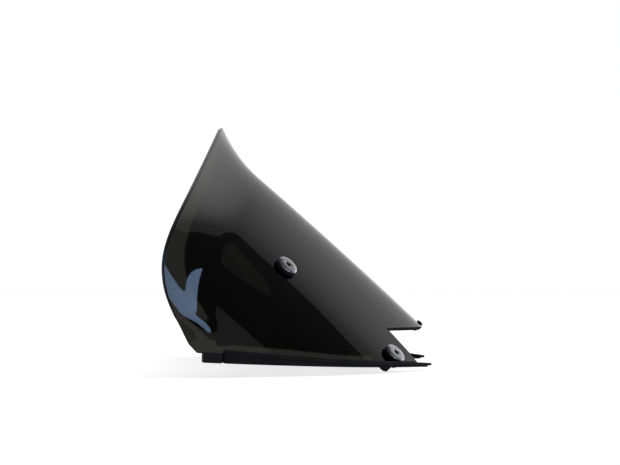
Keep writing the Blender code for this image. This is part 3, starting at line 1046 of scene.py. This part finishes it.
class WINDSHIELD_OT_bumper(bpy.types.Operator):
    """Builds the push-in rubber bumper in the centre tab"""

    bl_idname = "windshield.bumper"
    bl_label = "Tab bumper"

    def execute(self, context):
        bulb = -sizes().sheet - GAP
        corners = [
            (0.0, 0.0024),
            (0.0018, 0.0023),
            (0.0034, 0.0015),
            (0.0038, GAP),
            (0.0022, GAP),
            (0.0022, bulb),
            (0.0032, bulb),
            (0.0030, bulb - 0.0014),
            (0.0012, bulb - 0.0040),
            (0.0, bulb - 0.0042),
        ]
        points, faces = turned(profile_of(corners, 0.0004), bumper_frame())
        mesh = mesh_from("tab_bumper_soft", points, outward_faces(faces))
        add_piece(mesh.name, mesh, [finish(black_rubber)], ["tab_bumper"])
        return {"FINISHED"}


# The camera looks square across the object: its film and lens in millimetres, and its place.
SENSOR = 36.0
LENS = 168.4
CAMERA_FROM_MIDDLE = (0.0090, -2.9, 0.01446)

FLOOR_REACH = 12.0
FLOOR_ALBEDO = (0.36, 0.36, 0.36)
FLOOR_GLOW = 0.78
MIRRORED_SURROUND = (0.055, 0.055, 0.060, 1.0)
SEEN_SURROUND = (0.86, 0.86, 0.87, 1.0)

# The backdrop's distance and height, and its brightness at shares of that height.
BACKDROP_BEHIND = 4.5
BACKDROP_TOP = 9.0
BACKDROP_LEVELS = (
    (0.0, 1.02),
    (0.10, 1.0),
    (0.18, 0.74),
    (0.31, 0.68),
    (0.40, 0.58),
    (0.50, 0.36),
    (0.60, 0.23),
    (1.0, 0.21),
)



# Its outline as (x, z). The top edge, mirrored in the sheet, is the border of its dark part.
BACKDROP_OUTLINE = (
    (-14, -0.5),
    (22, -0.5),
    (22, 8.1),
    (12, 7.6),
    (9.0, 7.75),
    (8.0, 7.35),
    (6.9, 6.6),
    (5.7, 6.0),
    (-14, 6.0),
)

# The window ahead of the object: bearings clockwise from ahead, and its lowest and highest
# elevations there, all in degrees as the sheet's rear corner sees them.
WINDOW_AHEAD = 4.0
WINDOW_TOP = 2.9
WINDOW_LEVELS = ((0.0, 2.6), (1.0, 4.2))
REAR_CORNER_FROM_MIDDLE = (-0.13, -0.20, -0.02)
WINDOW_BEARINGS = (9.5, 16.0, 22.0, 27.0, 32.0, 37.0)
WINDOW_LOW = (12.0, 16.0, 20.0, 22.0, 22.0, 22.0)
WINDOW_HIGH = (35.0, 33.0, 31.5, 30.5, 29.0, 26.5)

# The room's wall on the camera's side: its distance, height, brightness, and outline as (x, z).
ROOM_DISTANCE = 4.0
ROOM_TOP = 4.9
ROOM_LEVELS = ((0.0, 0.36), (1.0, 0.24))
ROOM_OUTLINE = ((0.4, 0.0), (4.9, 0.0), (4.9, 4.5), (4.3, ROOM_TOP), (0.4, ROOM_TOP))


class WINDSHIELD_OT_stage(bpy.types.Operator):
    """Builds the pale floor, the backdrop, the mirrored cards, the lights and the camera"""

    bl_idname = "windshield.stage"
    bl_label = "Stage"

    def execute(self, context):
        scene = context.scene
        scene.view_settings.view_transform = "Standard"
        low, high = (np.array(corner) for corner in CAD_BOX)
        middle = (low + high) / 2
        self.floor(low[2])
        self.backdrop(middle)
        self.window(middle)
        self.room(middle)
        self.world(scene)
        self.light("overhead", middle + (0.6, 0.4, 2.6), middle, 3.0, 95.0)
        self.light("side_fill", middle + (0.5, -2.6, 1.2), middle, 1.6, 5.0)
        lens = bpy.data.cameras.new("side_camera")
        lens.sensor_width = SENSOR
        lens.lens = LENS
        camera = bpy.data.objects.new("side_camera", lens)
        camera.location = middle + CAMERA_FROM_MIDDLE
        camera.rotation_euler = (math.pi / 2, 0.0, 0.0)
        scene.collection.objects.link(camera)
        scene.camera = camera
        return {"FINISHED"}

    def plane(self, name, corners, material):
        """A flat card of the stage."""
        mesh = bpy.data.meshes.new(name)
        mesh.from_pydata([tuple(corner) for corner in corners], [], [list(range(len(corners)))])
        mesh.materials.append(material)
        made = bpy.data.objects.new(name, mesh)
        bpy.context.scene.collection.objects.link(made)
        return made

    def floor(self, z):
        """Pale floor, kept out of mirrored light so that the sheet stays dark low down."""
        made, shader, _ = new_material("pale_floor", FLOOR_ALBEDO, 0.9)
        shader.inputs["Specular IOR Level"].default_value = 0.0
        shader.inputs["Emission Strength"].default_value = FLOOR_GLOW
        shader.inputs["Emission Color"].default_value = (1.0, 1.0, 1.0, 1.0)
        corners = [(FLOOR_REACH * x, FLOOR_REACH * y, z) for x, y in ((-1, -1), (1, -1), (1, 1), (-1, 1))]
        floor = self.plane("floor", corners, made)
        floor.visible_glossy = False

    def backdrop(self, middle):
        """White wall behind the object, dimmer towards its top, with a taller wing ahead."""
        y = middle[1] + BACKDROP_BEHIND
        made = self.glow("white_backdrop", BACKDROP_LEVELS, BACKDROP_TOP)
        self.plane("backdrop", [(x, y, z) for x, z in BACKDROP_OUTLINE], made)

    def window(self, middle):
        """Bright pale window ahead of the object, seen only as a mirrored patch on its rear corners."""
        made = self.glow("pale_window", WINDOW_LEVELS, WINDOW_TOP, colours().sky)
        eye = middle + REAR_CORNER_FROM_MIDDLE
        bearing, low, high = np.radians([WINDOW_BEARINGS, WINDOW_LOW, WINDOW_HIGH])
        ahead = np.full_like(bearing, WINDOW_AHEAD)
        aside = -ahead * np.tan(bearing)
        reach = ahead / np.cos(bearing)
        lower = np.stack([ahead, aside, reach * np.tan(low)], axis=1)
        upper = np.stack([ahead, aside, reach * np.tan(high)], axis=1)
        self.mirrored_only("window", eye + np.concatenate([lower, upper[::-1]]), made)

    def room(self, middle):
        """Dim wall of the room on the camera's side, seen only as a faint mirrored patch low down."""
        made = self.glow("dim_room", ROOM_LEVELS, ROOM_TOP)
        y = middle[1] - ROOM_DISTANCE
        self.mirrored_only("room", [(x, y, z) for x, z in ROOM_OUTLINE], made)

    def mirrored_only(self, name, corners, material):
        """A card that glossy surfaces mirror and that nothing else sees."""
        card = self.plane(name, corners, material)
        card.visible_camera = False
        card.visible_diffuse = False
        card.visible_transmission = False

    def glow(self, name, levels, top, tint=(1.0, 1.0, 1.0)):
        """Light whose strength follows levels of (share of the top's height, strength)."""
        made = bpy.data.materials.new(name)
        made.use_nodes = True
        nodes, links = made.node_tree.nodes, made.node_tree.links
        nodes.clear()
        place = nodes.new("ShaderNodeTexCoord")
        split = nodes.new("ShaderNodeSeparateXYZ")
        ramp = nodes.new("ShaderNodeValToRGB")
        share = nodes.new("ShaderNodeMapRange")
        emission = nodes.new("ShaderNodeEmission")
        output = nodes.new("ShaderNodeOutputMaterial")
        share.inputs["From Max"].default_value = top
        emission.inputs["Color"].default_value = (*tint, 1.0)
        elements = ramp.color_ramp.elements
        for position, level in levels[1:-1]:
            elements.new(position)
        for element, (position, level) in zip(elements, levels):
            element.position = position
            element.color = (level, level, level, 1.0)
        links.new(place.outputs["Object"], split.inputs["Vector"])
        links.new(split.outputs["Z"], share.inputs["Value"])
        links.new(share.outputs["Result"], ramp.inputs["Fac"])
        links.new(ramp.outputs["Color"], emission.inputs["Strength"])
        links.new(emission.outputs["Emission"], output.inputs["Surface"])
        return made

    def world(self, scene):
        """Pale to the camera, and dim to everything that the object reflects."""
        world = bpy.data.worlds.new("studio")
        scene.world = world
        world.use_nodes = True
        nodes, links = world.node_tree.nodes, world.node_tree.links
        nodes.clear()
        ray = nodes.new("ShaderNodeLightPath")
        dim = nodes.new("ShaderNodeBackground")
        pale = nodes.new("ShaderNodeBackground")
        mix = nodes.new("ShaderNodeMixShader")
        output = nodes.new("ShaderNodeOutputWorld")
        dim.inputs["Color"].default_value = MIRRORED_SURROUND
        pale.inputs["Color"].default_value = SEEN_SURROUND
        links.new(ray.outputs["Is Camera Ray"], mix.inputs["Fac"])
        links.new(dim.outputs["Background"], mix.inputs[1])
        links.new(pale.outputs["Background"], mix.inputs[2])
        links.new(mix.outputs["Shader"], output.inputs["Surface"])

    def light(self, name, spot, target, width, power):
        """A round soft light aimed at the target and not mirrored: turned by pitch, then by heading."""
        data = bpy.data.lights.new(name, "AREA")
        data.shape = "DISK"
        data.size = width
        data.energy = power
        made = bpy.data.objects.new(name, data)
        made.location = spot
        toward = np.asarray(target) - np.asarray(spot)
        pitch = math.atan2(math.hypot(toward[0], toward[1]), -toward[2])
        made.rotation_euler = (pitch, 0.0, math.atan2(-toward[0], toward[1]))
        made.visible_glossy = False
        bpy.context.scene.collection.objects.link(made)


class WINDSHIELD_PT_panel(bpy.types.Panel):
    """Lists the sizes, the colours and the steps of the build"""

    bl_label = "Windshield screen"
    bl_idname = "WINDSHIELD_PT_panel"
    bl_space_type = "VIEW_3D"
    bl_region_type = "UI"
    bl_category = "Windshield"

    def draw(self, context):
        column = self.layout.column(align=True)
        for group in (sizes(), colours()):
            for name in group.__annotations__:
                column.prop(group, name)
        for step in STEPS:
            column.operator(step.bl_idname)


STEPS = (
    WINDSHIELD_OT_screen,
    WINDSHIELD_OT_screws,
    WINDSHIELD_OT_cup_washers,
    WINDSHIELD_OT_rubber_washers,
    WINDSHIELD_OT_well_nuts,
    WINDSHIELD_OT_seals,
    WINDSHIELD_OT_bumper,
    WINDSHIELD_OT_stage,
)
CLASSES = (WindshieldSizes, WindshieldColours, *STEPS, WINDSHIELD_PT_panel)


def register():
    for part in CLASSES:
        bpy.utils.register_class(part)
    bpy.types.Scene.windshield_sizes = PointerProperty(type=WindshieldSizes)
    bpy.types.Scene.windshield_colours = PointerProperty(type=WindshieldColours)


def unregister():
    del bpy.types.Scene.windshield_colours
    del bpy.types.Scene.windshield_sizes
    for part in reversed(CLASSES):
        bpy.utils.unregister_class(part)


def main():
    register()
    for step in STEPS:
        family, name = step.bl_idname.split(".")
        getattr(getattr(bpy.ops, family), name)()


if __name__ == "__main__":
    main()
